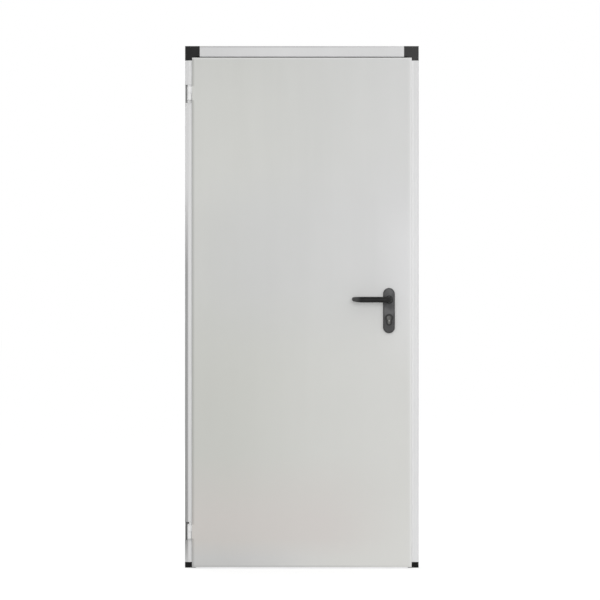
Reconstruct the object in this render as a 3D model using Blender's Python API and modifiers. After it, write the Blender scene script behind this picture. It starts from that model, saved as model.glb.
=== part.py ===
"""Flush sheet-steel door in a three-sided folded frame, hinged on the left.

The leaf hangs in front of the frame's face: its two upright lips overlap the jambs, and
its top stops below the head. Sizes in u run inwards from the frame's outer edge, sizes in
v run from the wall's face (v = 0) into the wall, and heights run from the floor. An empty
puts the origin on the hinge jamb's wall flange, at floor level. Lengths are in metres.
"""

import math

import bmesh
import bpy
from mathutils import Matrix, Vector

# Whole door
FRAME_WIDTH = 0.924
FRAME_HEIGHT = 2.062
SEAT_GAP = 0.0003

# Frame section
FRAME_SHEET = 0.0015
WALL_FLANGE = 0.012
FACE_FORWARD = 0.018
FACE_WIDTH = 0.043
FACE_EDGE_RADIUS = 0.005
FOLD_RADIUS = 0.002
STOP_DEPTH = 0.0115
STOP_WIDTH = 0.013
REVEAL_DEPTH = 0.062
REVEAL_RETURN = 0.012

# Plastic corner joints and foot caps
CORNER_LEG = 0.058
CORNER_WALL = 0.0017
CORNER_WEB = 0.003
CORNER_SETBACK = 0.0005
CORNER_TONGUE = 0.028
FOOT_HEIGHT = 0.022
FOOT_TONGUE_HEIGHT = 0.025
TONGUE_CLEARANCE = 0.0008
REVEAL_FOOT_WIDTH = 0.012

# Leaf
LEAF_THICKNESS = 0.040
LEAF_PROUD = 0.036
LIP_OVERLAP = 0.014
LIP_THICKNESS = 0.013
SIDE_GAP = 0.006
HEAD_GAP = 0.0065
FLOOR_GAP = 0.005
SKIN = 0.0008
SKIN_RADIUS = 0.0015
BACK_HEM = 0.014
EDGE_CHANNEL_HEIGHT = 0.020
EDGE_CHANNEL_WALL = 0.001

# Hinges
HINGE_INSET = 0.019
HINGE_FORWARD = 0.036
HINGE_FROM_LEAF_END = 0.140
KNUCKLE_RADIUS = 0.0078
BARREL_HEIGHT = 0.056
KNUCKLE_GAP = 0.0008
PIN_RADIUS = 0.0043
PIN_CLEARANCE = 0.0004
PIN_CAP_HEIGHT = 0.0022
CAP_STEP = 0.0006
HINGE_NOTCH_HEIGHT = 0.071
HINGE_NOTCH_DEPTH = 0.013
HINGE_NOTCH_CLEARANCE = 0.0005
HINGE_BLOCK_EDGE = 0.0100
HINGE_BLOCK_WIDTH = 0.0155
HINGE_BLOCK_RADIUS = 0.002
HINGE_STEP_HEIGHTS = {"lower": 0.0075}
HINGE_STEP_WIDTH = 0.007
HINGE_BACKING = 0.003
HINGE_BACKING_LAP = 0.010
HINGE_NECK_WIDTH = 0.010
LEAF_WING_HEIGHT = 0.051
LEAF_WING_THICKNESS = 0.003
LEAF_WING_LENGTH = 0.045
LEAF_WING_SETBACK = 0.002
LEAF_WING_CLEARANCE = 0.0008

# Lock and handle set
BACKSET = 0.070
LEVER_HEIGHT = 1.059
CYLINDER_SPACING = 0.072
FACEPLATE_WIDTH = 0.020
FACEPLATE_HEIGHT = 0.235
FACEPLATE_THICKNESS = 0.003
FACEPLATE_FROM_BACK = 0.0022
FACEPLATE_ABOVE_LEVER = 0.080
LOCK_CASE_THICKNESS = 0.015
LOCK_CASE_DEPTH = 0.092
LOCK_CASE_HEIGHT = 0.165
LOCK_CASE_ABOVE_LEVER = 0.045
LATCH_ABOVE_LEVER = 0.013
LATCH_HEIGHT = 0.022
LATCH_WIDTH = 0.010
LATCH_LENGTH = 0.030
BOLT_BELOW_LEVER = 0.080
BOLT_HEIGHT = 0.034
BOLT_WIDTH = 0.009
LOCK_SLOT_CLEARANCE = 0.0005
STRIKE_HEIGHT = 0.165
STRIKE_THICKNESS = 0.002
STRIKE_LAP = 0.006
STRIKE_SLOT_MARGIN = 0.0012
STRIKE_WINDOW_MARGIN = 0.002
PLATE_WIDTH = 0.046
PLATE_HEIGHT = 0.178
PLATE_ABOVE_LEVER = 0.046
PLATE_THICKNESS = 0.009
PLATE_EDGE_RADIUS = 0.0025
RIM_STEPS = 2
HUB_RADIUS = 0.0150
HUB_HEIGHT = 0.0030
HUB_EDGE_RADIUS = 0.0012
HUB_CLEARANCE = 0.0008
COLLAR_RADIUS = 0.0158
COLLAR_END_RADIUS = 0.0100
COLLAR_DROP = 0.0205
COLLAR_HEIGHT = 0.0022
COLLAR_EDGE_RADIUS = 0.0010
SPINDLE_SIDE = 0.008
SPINDLE_REACH = 0.022
SPINDLE_CLEARANCE = 0.0003
SPINDLE_HOLE_RADIUS = 0.0088
LEVER_RADIUS = 0.0112
LEVER_SEAT_DEPTH = 0.006
LEVER_REACH = 0.0555
LEVER_LENGTH = 0.150
LEVER_NECK_BEND = 0.020
LEVER_END_BEND = 0.025
LEVER_TIP_GAP = 0.012
LEVER_TIP_TAPER = 0.68
LEVER_TIP_LIFT = 0.0022
CYLINDER_RADIUS = 0.0085
CYLINDER_TAIL_WIDTH = 0.010
CYLINDER_HEIGHT = 0.033
CYLINDER_PROUD = 0.0032
CYLINDER_CLEARANCE = 0.0004

# Seal
SEAL_WIDTH = 0.009
SEAL_THICKNESS = 0.002
SEAL_EDGE = 0.003

ROUND_SIDES = 24
FOLD_STEPS = 3
TUBE_RESOLUTION = 3
WELD = 0.00001
CUT_ROOM = 0.008
LIP_CUT = 0.002
CORE_ROOM = 0.010
SHEET_SIDE = 1
SHARP_ANGLE = 30

# Lines that several pieces share
LEAF_FRONT = -LEAF_PROUD
LEAF_BACK = LEAF_THICKNESS - LEAF_PROUD
LEAF_EDGE = FACE_WIDTH - LIP_OVERLAP
BODY_EDGE = FACE_WIDTH + SIDE_GAP
LIP_BACK = LEAF_FRONT + LIP_THICKNESS
LEAF_TOP = FRAME_HEIGHT - FACE_WIDTH - HEAD_GAP
LEAF_BOTTOM = FLOOR_GAP
LATCH_EDGE = FRAME_WIDTH - BODY_EDGE
LEVER_U = LATCH_EDGE - BACKSET
CYLINDER_Z = LEVER_HEIGHT - CYLINDER_SPACING
STOP_EDGE = FACE_WIDTH + STOP_WIDTH
HINGE_HEIGHTS = {
    "upper": LEAF_TOP - HINGE_FROM_LEAF_END,
    "lower": LEAF_BOTTOM + HINGE_FROM_LEAF_END,
}
HINGE_BACKING_FRONT = -FRAME_SHEET - SEAT_GAP - HINGE_BACKING
HINGE_BLOCK_BACK = HINGE_BACKING_FRONT + HINGE_BACKING / 2
LOCK_V = LEAF_BACK - FACEPLATE_FROM_BACK - FACEPLATE_WIDTH / 2
FACEPLATE_TOP = LEVER_HEIGHT + FACEPLATE_ABOVE_LEVER
FACEPLATE_BOTTOM = FACEPLATE_TOP - FACEPLATE_HEIGHT
LOCK_CASE_TOP = LEVER_HEIGHT + LOCK_CASE_ABOVE_LEVER
LOCK_CASE_BOTTOM = LOCK_CASE_TOP - LOCK_CASE_HEIGHT
PLATE_TOP = LEVER_HEIGHT + PLATE_ABOVE_LEVER
PLATE_BOTTOM = PLATE_TOP - PLATE_HEIGHT
LOCK_MIDDLE = LEVER_HEIGHT - CYLINDER_SPACING / 2
LATCH_Z = LEVER_HEIGHT + LATCH_ABOVE_LEVER
BOLT_Z = LEVER_HEIGHT - BOLT_BELOW_LEVER
PLATE_FRONT = LEAF_FRONT - SEAT_GAP - PLATE_THICKNESS
PLATE_BACK = LEAF_BACK + SEAT_GAP + PLATE_THICKNESS
LEAF_FACES = {-1: LEAF_FRONT, 1: LEAF_BACK}
BODY_ORIGINS = {
    "frame": Vector((0, 0, 0)),
    "leaf": Vector((HINGE_INSET, -HINGE_FORWARD, 0)),
    "lever": Vector((LEVER_U, LEAF_FRONT, LEVER_HEIGHT)),
}


def clear_scene():
    for obj in list(bpy.data.objects):
        bpy.data.objects.remove(obj, do_unlink=True)


def new_collection(name, hidden=False):
    found = bpy.data.collections.new(name)
    found.hide_render = hidden
    bpy.context.scene.collection.children.link(found)
    return found


def new_material(name, color, roughness, metallic=0.0):
    made = bpy.data.materials.new(name)
    made.use_nodes = True
    shader = made.node_tree.nodes["Principled BSDF"]
    shader.inputs["Base Color"].default_value = (*color, 1.0)
    shader.inputs["Roughness"].default_value = roughness
    shader.inputs["Metallic"].default_value = metallic
    return made


def rounded(points, radius, closed=False):
    """The path with its corners turned to arcs. radius is one number, or one for each point."""
    radii = radius if isinstance(radius, (list, tuple)) else [radius] * len(points)
    path = []
    for index, (point, bend) in enumerate(zip(points, radii)):
        here = Vector(point)
        at_end = not closed and index in (0, len(points) - 1)
        if at_end or bend == 0:
            path.append(here)
            continue
        back = (Vector(points[index - 1]) - here).normalized()
        ahead = (Vector(points[(index + 1) % len(points)]) - here).normalized()
        half = back.angle(ahead) / 2
        centre = here + (back + ahead).normalized() * bend / math.sin(half)
        start = here + back * bend / math.tan(half) - centre
        finish = here + ahead * bend / math.tan(half) - centre
        turn = math.atan2(start.cross(finish), start.dot(finish))
        for step in range(FOLD_STEPS + 1):
            swing = turn * step / FOLD_STEPS
            path.append(centre + Vector((
                start.x * math.cos(swing) - start.y * math.sin(swing),
                start.x * math.sin(swing) + start.y * math.cos(swing),
            )))
    return path


def arc(centre, radius, start, finish, steps):
    """Points on an arc, with its angles in degrees."""
    angles = [math.radians(start + (finish - start) * step / steps) for step in range(steps + 1)]
    return [
        Vector((centre[0] + radius * math.cos(angle), centre[1] + radius * math.sin(angle)))
        for angle in angles
    ]


def mirrored(points):
    """The path on the latch side that matches one on the hinge side."""
    return [(FRAME_WIDTH - u, v) for u, v in reversed(points)]


def box_outline(low_u, low_v, high_u, high_v):
    return [(low_u, low_v), (high_u, low_v), (high_u, high_v), (low_u, high_v)]


def mesh_of(obj):
    """The object's shape as a closed mesh. The object itself goes."""
    bpy.context.view_layer.update()
    graph = bpy.context.evaluated_depsgraph_get()
    mesh = bpy.data.meshes.new_from_object(obj.evaluated_get(graph))
    bpy.data.objects.remove(obj, do_unlink=True)
    shape = bmesh.new()
    shape.from_mesh(mesh)
    bmesh.ops.remove_doubles(shape, verts=shape.verts, dist=WELD)
    bmesh.ops.recalc_face_normals(shape, faces=shape.faces)
    shape.to_mesh(mesh)
    shape.free()
    return mesh


def prism(outline, low, high, along="z"):
    """A flat outline made solid from low to high. Along z it is drawn in u and v, along v
    in u and z, and along u in v and z."""
    curve = bpy.data.curves.new("outline", "CURVE")
    curve.dimensions = "2D"
    curve.fill_mode = "BOTH"
    curve.extrude = (high - low) / 2
    spline = curve.splines.new("POLY")
    spline.points.add(len(outline) - 1)
    for point, place in zip(spline.points, outline):
        point.co = (place[0], place[1], 0, 1)
    spline.use_cyclic_u = True
    flat = bpy.data.objects.new("outline", curve)
    cutters.objects.link(flat)
    mesh = mesh_of(flat)
    middle = (low + high) / 2
    if along == "z":
        mesh.transform(Matrix.Translation((0, 0, middle)))
    elif along == "v":
        mesh.transform(Matrix.Translation((0, middle, 0)) @ Matrix.Rotation(math.pi / 2, 4, "X"))
    else:
        turn = Matrix(((0, 0, 1, middle), (1, 0, 0, 0), (0, 1, 0, 0), (0, 0, 0, 1)))
        mesh.transform(turn)
    return mesh


def block(low, high):
    """A box between two corners."""
    shape = bmesh.new()
    bmesh.ops.create_cube(shape, size=1)
    low, high = Vector(low), Vector(high)
    bmesh.ops.scale(shape, verts=shape.verts, vec=high - low)
    bmesh.ops.translate(shape, verts=shape.verts, vec=(low + high) / 2)
    mesh = bpy.data.meshes.new("block")
    shape.to_mesh(mesh)
    shape.free()
    return mesh


def sheet(path, thickness, low, high):
    """A folded sheet: a path extruded from low to high, thickened to the left of the path."""
    shape = bmesh.new()
    verts = [shape.verts.new((point[0], point[1], low)) for point in path]
    edges = [shape.edges.new(pair) for pair in zip(verts, verts[1:])]
    raised = bmesh.ops.extrude_edge_only(shape, edges=edges)["geom"]
    top = [item for item in raised if isinstance(item, bmesh.types.BMVert)]
    bmesh.ops.translate(shape, verts=top, vec=(0, 0, high - low))
    mesh = bpy.data.meshes.new("sheet")
    shape.to_mesh(mesh)
    shape.free()
    surface = bpy.data.objects.new("sheet", mesh)
    cutters.objects.link(surface)
    wall = surface.modifiers.new("wall", "SOLIDIFY")
    wall.thickness = thickness
    wall.offset = SHEET_SIDE
    wall.use_even_offset = True
    return mesh_of(surface)


def turned(profile, centre, along="z"):
    """A profile of radius and height turned round an upright axis through centre, or round
    one that runs along v."""
    mesh = bpy.data.meshes.new("profile")
    shape = bmesh.new()
    verts = [shape.verts.new((radius, 0, height)) for radius, height in profile]
    for pair in zip(verts, verts[1:]):
        shape.edges.new(pair)
    shape.to_mesh(mesh)
    shape.free()
    lathe = bpy.data.objects.new("profile", mesh)
    cutters.objects.link(lathe)
    spin = lathe.modifiers.new("spin", "SCREW")
    spin.steps = ROUND_SIDES
    spin.render_steps = ROUND_SIDES
    spin.use_merge_vertices = True
    spin.merge_threshold = WELD
    made = mesh_of(lathe)
    if along == "v":
        made.transform(Matrix.Rotation(math.pi / 2, 4, "X"))
    made.transform(Matrix.Translation(centre))
    return made


def rod(radius, low, high, centre, along="z"):
    """A round rod between two heights. Along v, heights are distances towards the front."""
    return turned([(0, high), (radius, high), (radius, low), (0, low)], centre, along)


def tube(points, radius, shares):
    """A round bar that follows the points. shares scales the radius at each point."""
    curve = bpy.data.curves.new("tube", "CURVE")
    curve.dimensions = "3D"
    curve.bevel_depth = radius
    curve.bevel_resolution = TUBE_RESOLUTION
    curve.use_fill_caps = True
    spline = curve.splines.new("POLY")
    spline.points.add(len(points) - 1)
    for point, place, share in zip(spline.points, points, shares):
        point.co = (*place, 1)
        point.radius = share
    bar = bpy.data.objects.new("tube", curve)
    cutters.objects.link(bar)
    return mesh_of(bar)


def tool(mesh):
    """A helper that cuts or joins, in door coordinates."""
    made = bpy.data.objects.new("tool", mesh)
    made.display_type = "WIRE"
    made.hide_render = True
    made.parent = bodies["frame"]
    cutters.objects.link(made)
    return made


def combine(obj, operation, meshes):
    for mesh in meshes:
        change = obj.modifiers.new(operation.lower(), "BOOLEAN")
        change.operation = operation
        change.solver = "EXACT"
        change.object = tool(mesh)


def piece(name, body, mesh, paint, joined=(), cut=()):
    """One named part of the door, drawn in door coordinates and carried by its body."""
    mesh.name = name
    mesh.materials.clear()
    mesh.materials.append(paint)
    mesh.shade_smooth()
    mesh.set_sharp_from_angle(angle=math.radians(SHARP_ANGLE))
    made = bpy.data.objects.new(name, mesh)
    made.parent = bodies[body]
    made.location = -BODY_ORIGINS[body]
    parts.objects.link(made)
    combine(made, "UNION", joined)
    combine(made, "DIFFERENCE", cut)
    return made


def frame_path():
    """The outer line of the frame's folded section, from the wall flange to the return."""
    points = [
        (WALL_FLANGE, 0),
        (0, 0),
        (0, -FACE_FORWARD),
        (FACE_WIDTH, -FACE_FORWARD),
        (FACE_WIDTH, STOP_DEPTH),
        (STOP_EDGE, STOP_DEPTH),
        (STOP_EDGE, REVEAL_DEPTH),
        (STOP_EDGE - REVEAL_RETURN, REVEAL_DEPTH),
    ]
    bends = [0, FOLD_RADIUS, FACE_EDGE_RADIUS] + [FOLD_RADIUS] * 4 + [0]
    return rounded(points, bends)


def below_foot():
    """What the foot cap replaces at a jamb's lower end: all but the wall flange."""
    return block((-CUT_ROOM, -FACE_FORWARD - CUT_ROOM, -CUT_ROOM),
                 (STOP_EDGE + CUT_ROOM, -FRAME_SHEET - SEAT_GAP, FOOT_HEIGHT + SEAT_GAP))


def behind_foot():
    return block((WALL_FLANGE + SEAT_GAP, -FRAME_SHEET - CUT_ROOM, -CUT_ROOM),
                 (STOP_EDGE + CUT_ROOM, REVEAL_DEPTH + CUT_ROOM, FOOT_HEIGHT + SEAT_GAP))


def flipped(mesh):
    """The mesh mirrored to the latch side."""
    mesh.transform(Matrix.Translation((FRAME_WIDTH, 0, 0)) @ Matrix.Scale(-1, 4, (1, 0, 0)))
    mesh.flip_normals()
    return mesh


def to_head(mesh):
    """The mesh mirrored about the frame's 45 degree mitre, from the jamb to the head."""
    swap = ((0, 0, -1, FRAME_HEIGHT), (0, 1, 0, 0), (-1, 0, 0, FRAME_HEIGHT), (0, 0, 0, 1))
    mesh.transform(Matrix(swap))
    mesh.flip_normals()
    return mesh


def hinge_notch(height):
    """The opening in the jamb's outer edge where the hinge block sits, open beside it."""
    half = HINGE_NOTCH_HEIGHT / 2
    return block((-CUT_ROOM, -FACE_FORWARD - CUT_ROOM, height - half),
                 (HINGE_BLOCK_EDGE + HINGE_BLOCK_WIDTH + HINGE_NOTCH_CLEARANCE,
                  -FACE_FORWARD + HINGE_NOTCH_DEPTH, height + half))


def strike_window():
    """The opening in the latch jamb that shows the strike plate."""
    half_width = LATCH_WIDTH / 2 + STRIKE_WINDOW_MARGIN
    half_height = STRIKE_HEIGHT / 2 - STRIKE_LAP
    inner = FRAME_WIDTH - FACE_WIDTH
    return block((inner - CUT_ROOM, LOCK_V - half_width, LOCK_MIDDLE - half_height),
                 (inner + CUT_ROOM, LOCK_V + half_width, LOCK_MIDDLE + half_height))


def make_jambs():
    top = FRAME_HEIGHT - CORNER_LEG
    notches = [hinge_notch(height) for height in HINGE_HEIGHTS.values()]
    piece("hinge_jamb", "frame", sheet(frame_path(), FRAME_SHEET, 0, top), steel_paint,
          cut=[below_foot(), behind_foot(), *notches])
    piece("latch_jamb", "frame", flipped(sheet(frame_path(), FRAME_SHEET, 0, top)), steel_paint,
          cut=[flipped(below_foot()), flipped(behind_foot()), strike_window()])


def make_head():
    mesh = sheet(frame_path(), FRAME_SHEET, CORNER_LEG + SEAT_GAP,
                 FRAME_WIDTH - CORNER_LEG - SEAT_GAP)
    mesh.transform(Matrix.Translation((0, 0, FRAME_HEIGHT)) @ Matrix.Rotation(math.pi / 2, 4, "Y"))
    piece("head_profile", "frame", mesh, steel_paint)


def corner_mesh():
    """One plastic leg, mirrored at 45 degrees about the frame's outer corner."""
    low = FRAME_HEIGHT - CORNER_LEG + SEAT_GAP
    leg = bpy.data.objects.new("leg", sheet(frame_path(), CORNER_WALL, low, FRAME_HEIGHT + CUT_ROOM))
    mitre = bpy.data.objects.new("mitre", None)
    mitre.location = (0, 0, FRAME_HEIGHT)
    mitre.rotation_euler = (0, -math.pi / 4, 0)
    cutters.objects.link(leg)
    cutters.objects.link(mitre)
    fold = leg.modifiers.new("fold", "MIRROR")
    fold.mirror_object = mitre
    fold.use_axis = (True, False, False)
    fold.use_bisect_axis = (True, False, False)
    fold.use_bisect_flip_axis = (True, False, False)
    fold.use_mirror_merge = True
    fold.merge_threshold = WELD
    return mesh_of(leg)


def section_block(inset, low, high):
    """A block that fills the frame's section behind its face, less a margin."""
    outline = box_outline(inset, -FACE_FORWARD + inset, FACE_WIDTH - inset,
                          -FRAME_SHEET - TONGUE_CLEARANCE)
    return prism(rounded(outline, [FACE_EDGE_RADIUS, 0, 0, 0], closed=True), low, high)


def corner_fillings():
    """A web across each open end of a corner joint, and a tongue from it into the steel."""
    found = []
    end = FRAME_HEIGHT - CORNER_LEG + SEAT_GAP
    for turn in (lambda mesh: mesh, to_head):
        found.append(turn(section_block(CORNER_WALL / 2, end + CORNER_SETBACK,
                                        end + CORNER_SETBACK + CORNER_WEB)))
        found.append(turn(section_block(FRAME_SHEET + TONGUE_CLEARANCE, end - CORNER_TONGUE,
                                        end + CORNER_WEB / 2)))
    return found


def make_corner_joints():
    piece("corner_joint_hinge_side", "frame", corner_mesh(), black_plastic,
          joined=corner_fillings())
    piece("corner_joint_latch_side", "frame", flipped(corner_mesh()), black_plastic,
          joined=[flipped(mesh) for mesh in corner_fillings()])


def foot_mesh():
    front = [
        (0, -FRAME_SHEET - 2 * SEAT_GAP),
        (0, -FACE_FORWARD),
        (FACE_WIDTH, -FACE_FORWARD),
        (FACE_WIDTH, STOP_DEPTH),
        (STOP_EDGE, STOP_DEPTH),
        (STOP_EDGE, REVEAL_DEPTH),
        (STOP_EDGE - REVEAL_FOOT_WIDTH, REVEAL_DEPTH),
        (STOP_EDGE - REVEAL_FOOT_WIDTH, STOP_DEPTH + REVEAL_FOOT_WIDTH),
        (FACE_WIDTH - REVEAL_FOOT_WIDTH, STOP_DEPTH + REVEAL_FOOT_WIDTH),
        (FACE_WIDTH - REVEAL_FOOT_WIDTH, -FRAME_SHEET - 2 * SEAT_GAP),
    ]
    bends = [0, FACE_EDGE_RADIUS] + [FOLD_RADIUS] * 4 + [0] * 4
    return prism(rounded(front, bends, closed=True), 0, FOOT_HEIGHT)


def foot_tongue():
    """The part of the foot that stands up inside the jamb."""
    return section_block(FRAME_SHEET + TONGUE_CLEARANCE, FOOT_HEIGHT / 2,
                         FOOT_HEIGHT + FOOT_TONGUE_HEIGHT)


def make_foot_caps():
    piece("foot_cap_hinge_side", "frame", foot_mesh(), black_plastic, joined=[foot_tongue()])
    piece("foot_cap_latch_side", "frame", flipped(foot_mesh()), black_plastic,
          joined=[flipped(foot_tongue())])


def lock_slots(low_u, high_u, margin):
    """Openings for the latch and the bolt, cut between two values of u."""
    found = []
    for height, width, tall in ((LATCH_Z, LATCH_WIDTH, LATCH_HEIGHT), (BOLT_Z, BOLT_WIDTH, BOLT_HEIGHT)):
        found.append(block((low_u, LOCK_V - width / 2 - margin, height - tall / 2 - margin),
                           (high_u, LOCK_V + width / 2 + margin, height + tall / 2 + margin)))
    return found


def make_strike_plate():
    inner = FRAME_WIDTH - FACE_WIDTH + FRAME_SHEET + SEAT_GAP
    half_height = STRIKE_HEIGHT / 2
    mesh = block((inner, -FACE_FORWARD + FOLD_RADIUS + SEAT_GAP, LOCK_MIDDLE - half_height),
                 (inner + STRIKE_THICKNESS, STOP_DEPTH - FOLD_RADIUS, LOCK_MIDDLE + half_height))
    piece("strike_plate", "frame", mesh, zinc,
          cut=lock_slots(inner - CUT_ROOM, inner + STRIKE_THICKNESS + CUT_ROOM, STRIKE_SLOT_MARGIN))


def make_seal():
    """A rubber strip on the stop, up one jamb, along the head and down the other."""
    low = STOP_DEPTH - SEAL_THICKNESS - SEAT_GAP
    inner = STOP_EDGE - SEAL_EDGE
    outer = inner - SEAL_WIDTH
    top = FRAME_HEIGHT
    outline = [
        (outer, FOOT_HEIGHT),
        (inner, FOOT_HEIGHT),
        (inner, top - inner),
        (FRAME_WIDTH - inner, top - inner),
        (FRAME_WIDTH - inner, FOOT_HEIGHT),
        (FRAME_WIDTH - outer, FOOT_HEIGHT),
        (FRAME_WIDTH - outer, top - outer),
        (outer, top - outer),
    ]
    piece("door_seal", "frame", prism(outline, low, low + SEAL_THICKNESS, "v"), rubber)


def hinge_block(height):
    """The block in the jamb's notch."""
    outline = box_outline(HINGE_BLOCK_EDGE, -FACE_FORWARD, HINGE_BLOCK_EDGE + HINGE_BLOCK_WIDTH,
                          HINGE_BLOCK_BACK)
    half = HINGE_NOTCH_HEIGHT / 2 - HINGE_NOTCH_CLEARANCE
    return prism(rounded(outline, [HINGE_BLOCK_RADIUS, 0, 0, 0], closed=True),
                 height - half, height + half)


def hinge_steps(place, height):
    """Where the block has one, the step at its upper outer corner that leaves the notch open."""
    if place not in HINGE_STEP_HEIGHTS:
        return []
    top = height + HINGE_NOTCH_HEIGHT / 2
    return [block((HINGE_BLOCK_EDGE - CUT_ROOM, -FACE_FORWARD - CUT_ROOM,
                   top - HINGE_STEP_HEIGHTS[place]),
                  (HINGE_BLOCK_EDGE + HINGE_STEP_WIDTH, HINGE_BACKING_FRONT - SEAT_GAP,
                   top + CUT_ROOM))]


def hinge_backing(height):
    """The plate inside the jamb that carries the block and closes the notch's back."""
    side = FRAME_SHEET + TONGUE_CLEARANCE
    reach = HINGE_NOTCH_HEIGHT / 2 + HINGE_BACKING_LAP
    return block((side, HINGE_BACKING_FRONT, height - reach),
                 (FACE_WIDTH - side, HINGE_BACKING_FRONT + HINGE_BACKING, height + reach))


def make_hinge(place, height):
    """A block in the jamb with the lower knuckle, the leaf's wing with the upper one, and
    the pin that both turn on."""
    axis = (HINGE_INSET, -HINGE_FORWARD)
    half = BARREL_HEIGHT / 2
    low = height - half + PIN_CAP_HEIGHT
    high = height + half - PIN_CAP_HEIGHT
    lower_top = height - KNUCKLE_GAP / 2
    upper_low = height + KNUCKLE_GAP / 2
    bore = rod(PIN_RADIUS + PIN_CLEARANCE, low - CUT_ROOM, high + CUT_ROOM, (*axis, 0))
    half_neck = HINGE_NECK_WIDTH / 2
    neck = block((HINGE_INSET - half_neck, -HINGE_FORWARD, low),
                 (HINGE_INSET + half_neck, (HINGE_BLOCK_BACK - FACE_FORWARD) / 2, lower_top))
    piece(f"{place}_hinge_frame_wing", "frame", hinge_block(height), steel_paint,
          joined=[hinge_backing(height), neck, rod(KNUCKLE_RADIUS, low, lower_top, (*axis, 0))],
          cut=[bore, *hinge_steps(place, height)])
    cap = height + half - SEAT_GAP
    cap_low = height - half + SEAT_GAP
    cap_radius = KNUCKLE_RADIUS - CAP_STEP
    pin = [(0, cap), (cap_radius, cap), (cap_radius, high + SEAT_GAP), (PIN_RADIUS, high + SEAT_GAP),
           (PIN_RADIUS, low - SEAT_GAP), (cap_radius, low - SEAT_GAP), (cap_radius, cap_low),
           (0, cap_low)]
    piece(f"{place}_hinge_pin", "frame", turned(pin, (*axis, 0)), steel_paint)
    front = LEAF_FRONT + LEAF_WING_SETBACK
    half_wing = LEAF_WING_HEIGHT / 2
    wing = block((HINGE_INSET + KNUCKLE_RADIUS + LEAF_WING_CLEARANCE, front, height - half_wing),
                 (LEAF_EDGE + LEAF_WING_LENGTH, front + LEAF_WING_THICKNESS, height + half_wing))
    tie = block((HINGE_INSET, front, upper_low),
                (LEAF_EDGE, front + LEAF_WING_THICKNESS, high))
    bore = rod(PIN_RADIUS + PIN_CLEARANCE, low - CUT_ROOM, high + CUT_ROOM, (*axis, 0))
    piece(f"{place}_hinge_leaf_wing", "leaf", wing, steel_paint,
          joined=[tie, rod(KNUCKLE_RADIUS, upper_low, high, (*axis, 0))], cut=[bore])


def wing_slots():
    """Slots in the leaf's lip for the hinge wings."""
    front = LEAF_FRONT + LEAF_WING_SETBACK
    half = LEAF_WING_HEIGHT / 2
    return [
        block((LEAF_EDGE - CUT_ROOM, front - SEAT_GAP, height - half - SEAT_GAP),
              (LEAF_EDGE + SKIN + LIP_CUT, front + LEAF_WING_THICKNESS + SEAT_GAP,
               height + half + SEAT_GAP))
        for height in HINGE_HEIGHTS.values()
    ]


def lever_hole(radius):
    """A round opening right through the leaf at the lever's axis."""
    return rod(radius, -CUT_ROOM, LEAF_THICKNESS + CUT_ROOM, (LEVER_U, LEAF_BACK, LEVER_HEIGHT), "v")


def cylinder_outline(room=0.0):
    """The keyhole-shaped section of the lock cylinder, in u and z."""
    radius = CYLINDER_RADIUS + room
    half = CYLINDER_TAIL_WIDTH / 2 + room
    end = CYLINDER_Z + CYLINDER_RADIUS - CYLINDER_HEIGHT + CYLINDER_TAIL_WIDTH / 2
    spread = math.degrees(math.asin(half / radius))
    tail = arc((LEVER_U, end), half, 180, 360, ROUND_SIDES // 4)
    head = arc((LEVER_U, CYLINDER_Z), radius, spread - 90, 270 - spread, ROUND_SIDES)
    return tail + head


def lock_openings(pad):
    """Openings through the leaf for the spindle and the cylinder."""
    return [lever_hole(SPINDLE_HOLE_RADIUS),
            prism(cylinder_outline(CYLINDER_CLEARANCE), LEAF_FRONT - pad, LEAF_BACK + pad, "v")]


def faceplate_pocket():
    room = SEAT_GAP
    return block((LATCH_EDGE - FACEPLATE_THICKNESS - room, LOCK_V - FACEPLATE_WIDTH / 2 - room,
                  FACEPLATE_BOTTOM - room),
                 (LATCH_EDGE + CUT_ROOM, LOCK_V + FACEPLATE_WIDTH / 2 + room, FACEPLATE_TOP + room))


def front_skin_path():
    points = [
        (BODY_EDGE, LEAF_BACK),
        (BODY_EDGE, LIP_BACK),
        (LEAF_EDGE, LIP_BACK),
        (LEAF_EDGE, LEAF_FRONT),
    ]
    points += mirrored(points)
    return rounded(points, SKIN_RADIUS)


def back_skin_path():
    side = BODY_EDGE + SKIN + SEAT_GAP
    points = [(FRAME_WIDTH - side, LEAF_BACK - BACK_HEM), (FRAME_WIDTH - side, LEAF_BACK)]
    points += mirrored(points)
    return rounded(points, SKIN_RADIUS)


def leaf_filling_outline(room):
    """The space inside the leaf, lips included, less a margin."""
    inset = SKIN + room
    deeper = 2 * SKIN + SEAT_GAP + room
    half = [
        (BODY_EDGE + deeper, LEAF_BACK - inset),
        (BODY_EDGE + deeper, LIP_BACK - inset),
        (LEAF_EDGE + inset, LIP_BACK - inset),
        (LEAF_EDGE + inset, LEAF_FRONT + inset),
    ]
    return half + mirrored(half)


def make_edge_channels():
    """Folded channels that close the leaf's top and bottom between the skins."""
    wall = EDGE_CHANNEL_WALL
    outer = leaf_filling_outline(SEAT_GAP)
    inner = leaf_filling_outline(SEAT_GAP + wall)
    low, high = LEAF_BOTTOM + SKIN, LEAF_TOP - SKIN
    tall = EDGE_CHANNEL_HEIGHT
    piece("bottom_edge_channel", "leaf", prism(outer, low, low + tall), zinc,
          cut=[prism(inner, low + wall, low + tall + CUT_ROOM)])
    piece("top_edge_channel", "leaf", prism(outer, high - tall, high), zinc,
          cut=[prism(inner, high - tall - CUT_ROOM, high - wall)])


def make_skins():
    front = sheet(front_skin_path(), SKIN, LEAF_BOTTOM, LEAF_TOP)
    piece("front_skin", "leaf", front, steel_paint,
          cut=[*wing_slots(), faceplate_pocket(), *lock_openings(CUT_ROOM)])
    back = sheet(back_skin_path(), SKIN, LEAF_BOTTOM, LEAF_TOP)
    piece("back_skin", "leaf", back, steel_paint, cut=[faceplate_pocket(), *lock_openings(CUT_ROOM)])


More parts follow.
